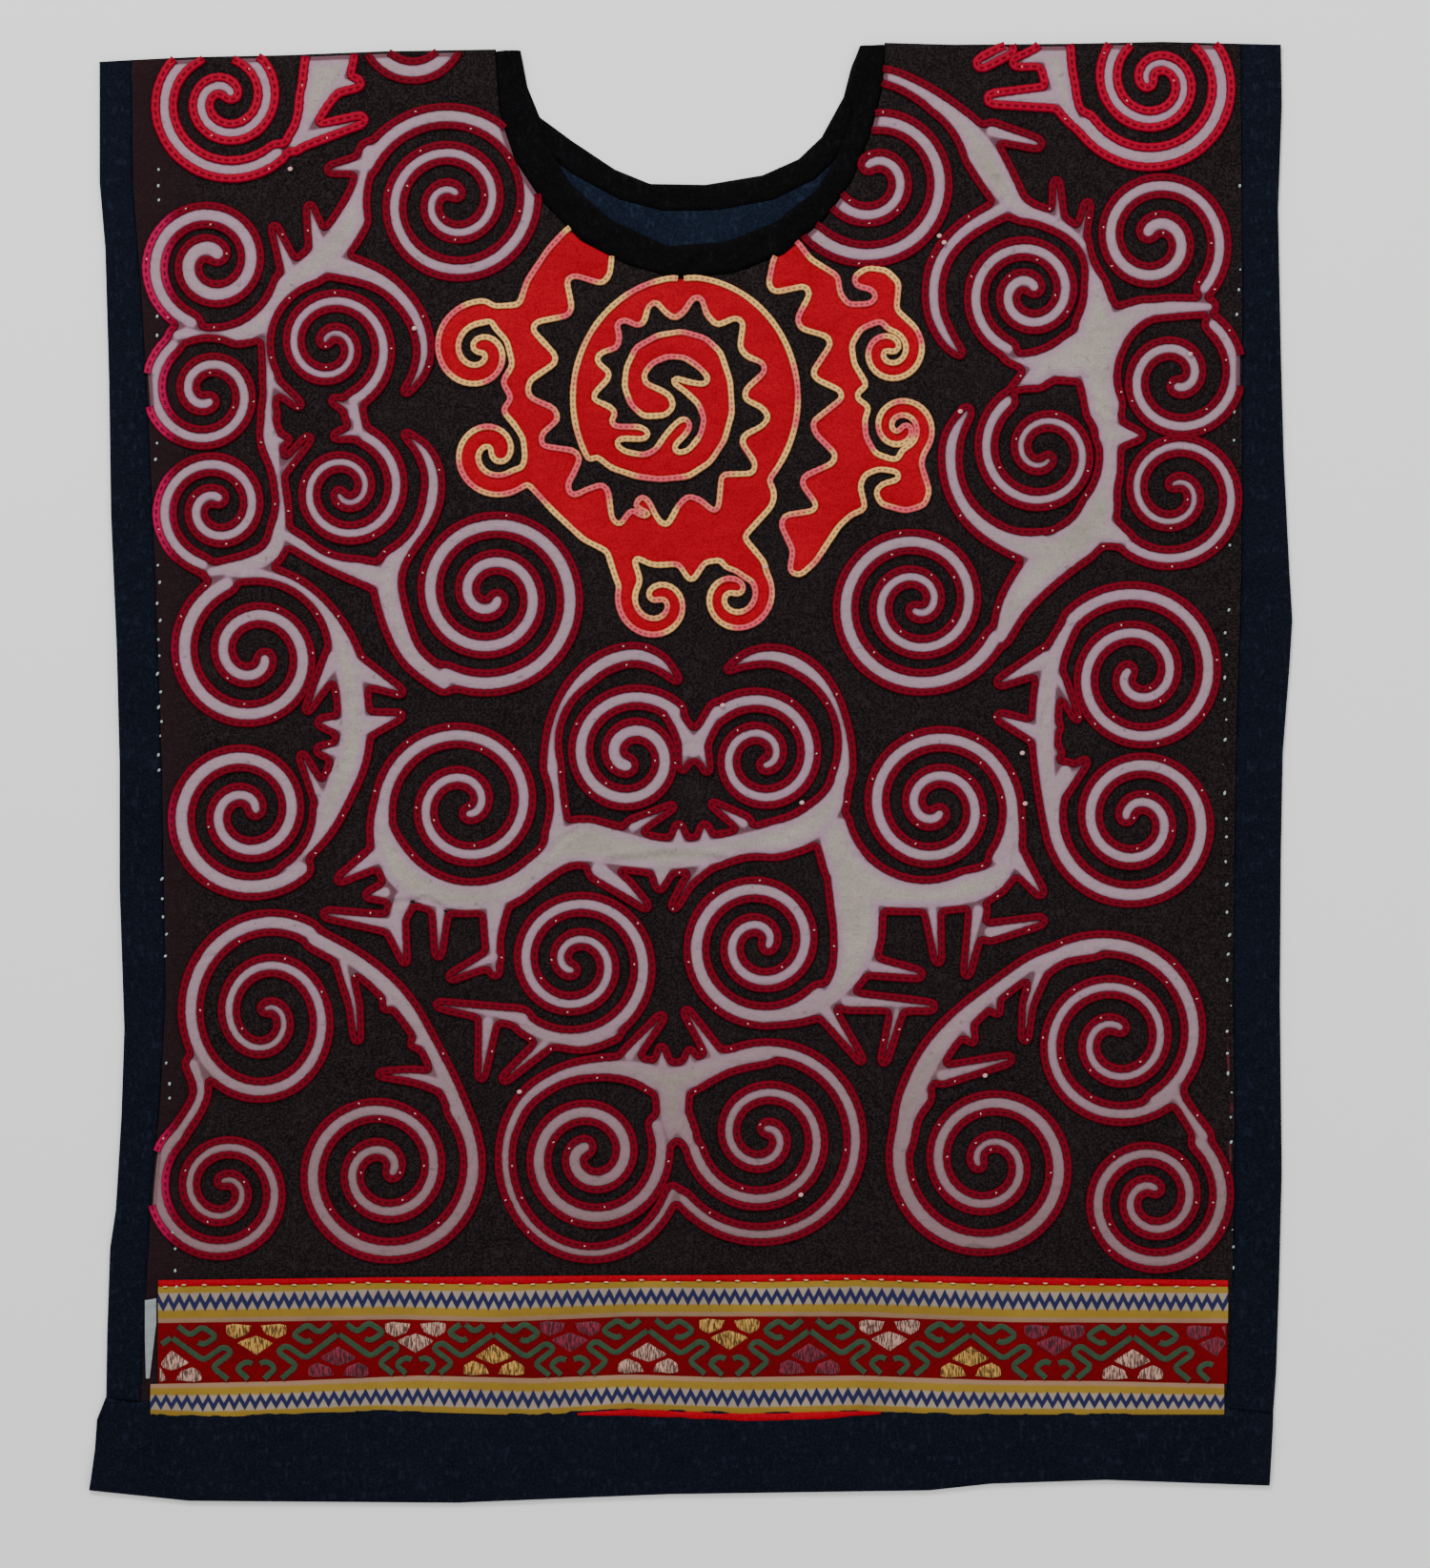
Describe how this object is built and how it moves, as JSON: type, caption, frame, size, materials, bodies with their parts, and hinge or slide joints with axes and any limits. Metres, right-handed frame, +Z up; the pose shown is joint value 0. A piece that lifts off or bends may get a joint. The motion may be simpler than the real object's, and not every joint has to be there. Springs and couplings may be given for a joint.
{
  "type": "tunic",
  "caption": "Boxy sleeveless cotton tunic laid flat, with pale spiral applique edged in couched cord, a red medallion at the neck and woven ribbon bands at the hem.",
  "frame": {"origin": "middle of the laid-out tunic, on the flat underside that rests on the surface", "axes": "+Z up out of the front of the tunic, +Y towards the neck, +X towards the wearer's left side, which is on the right as laid"},
  "size_m": [0.5936, 0.7209, 0.0042],
  "materials": {
    "ground_cotton": "thin dark open-weave cotton, matt",
    "indigo_cotton": "indigo cotton, matt",
    "black_binding": "black cotton binding, matt",
    "indigo_lining": "indigo cotton facing, matt",
    "faded_cotton": "faded pale cotton, matt",
    "red_cotton": "red cotton, matt",
    "woven_ribbon": "woven ribbon, matt",
    "red_woven_band": "woven band, slight sheen",
    "pale_tape": "pale woven tape, matt"
  },
  "bodies": {
    "root": {"applique_cream_01": "faded_cotton", "applique_cream_02": "faded_cotton", "applique_cream_03": "faded_cotton", "applique_cream_04": "faded_cotton", "applique_cream_05": "faded_cotton", "applique_cream_06": "faded_cotton", "applique_cream_07": "faded_cotton", "applique_cream_08": "faded_cotton", "applique_cream_09": "faded_cotton", "applique_cream_10": "faded_cotton", "applique_cream_11": "faded_cotton", "applique_cream_12": "faded_cotton", "applique_cream_13": "faded_cotton", "applique_cream_14": "faded_cotton", "applique_cream_15": "faded_cotton", "applique_cream_16": "faded_cotton", "applique_cream_17": "faded_cotton", "applique_cream_18": "faded_cotton", "applique_red_01": "red_cotton", "applique_red_02": "red_cotton", "body_panel": "ground_cotton", "hem_band_back": "indigo_cotton", "hem_band_front_left": "indigo_cotton", "hem_band_front_right": "indigo_cotton", "neck_binding_back": "black_binding", "neck_binding_front": "black_binding", "neck_facing_back": "indigo_lining", "pale_tab": "pale_tape", "red_edge_strip": "red_cotton", "red_piping": "red_cotton", "side_strip_left": "indigo_cotton", "side_strip_right": "indigo_cotton", "woven_band": "red_woven_band", "zigzag_ribbon_lower": "woven_ribbon", "zigzag_ribbon_upper": "woven_ribbon"}
  },
  "joints": []
}
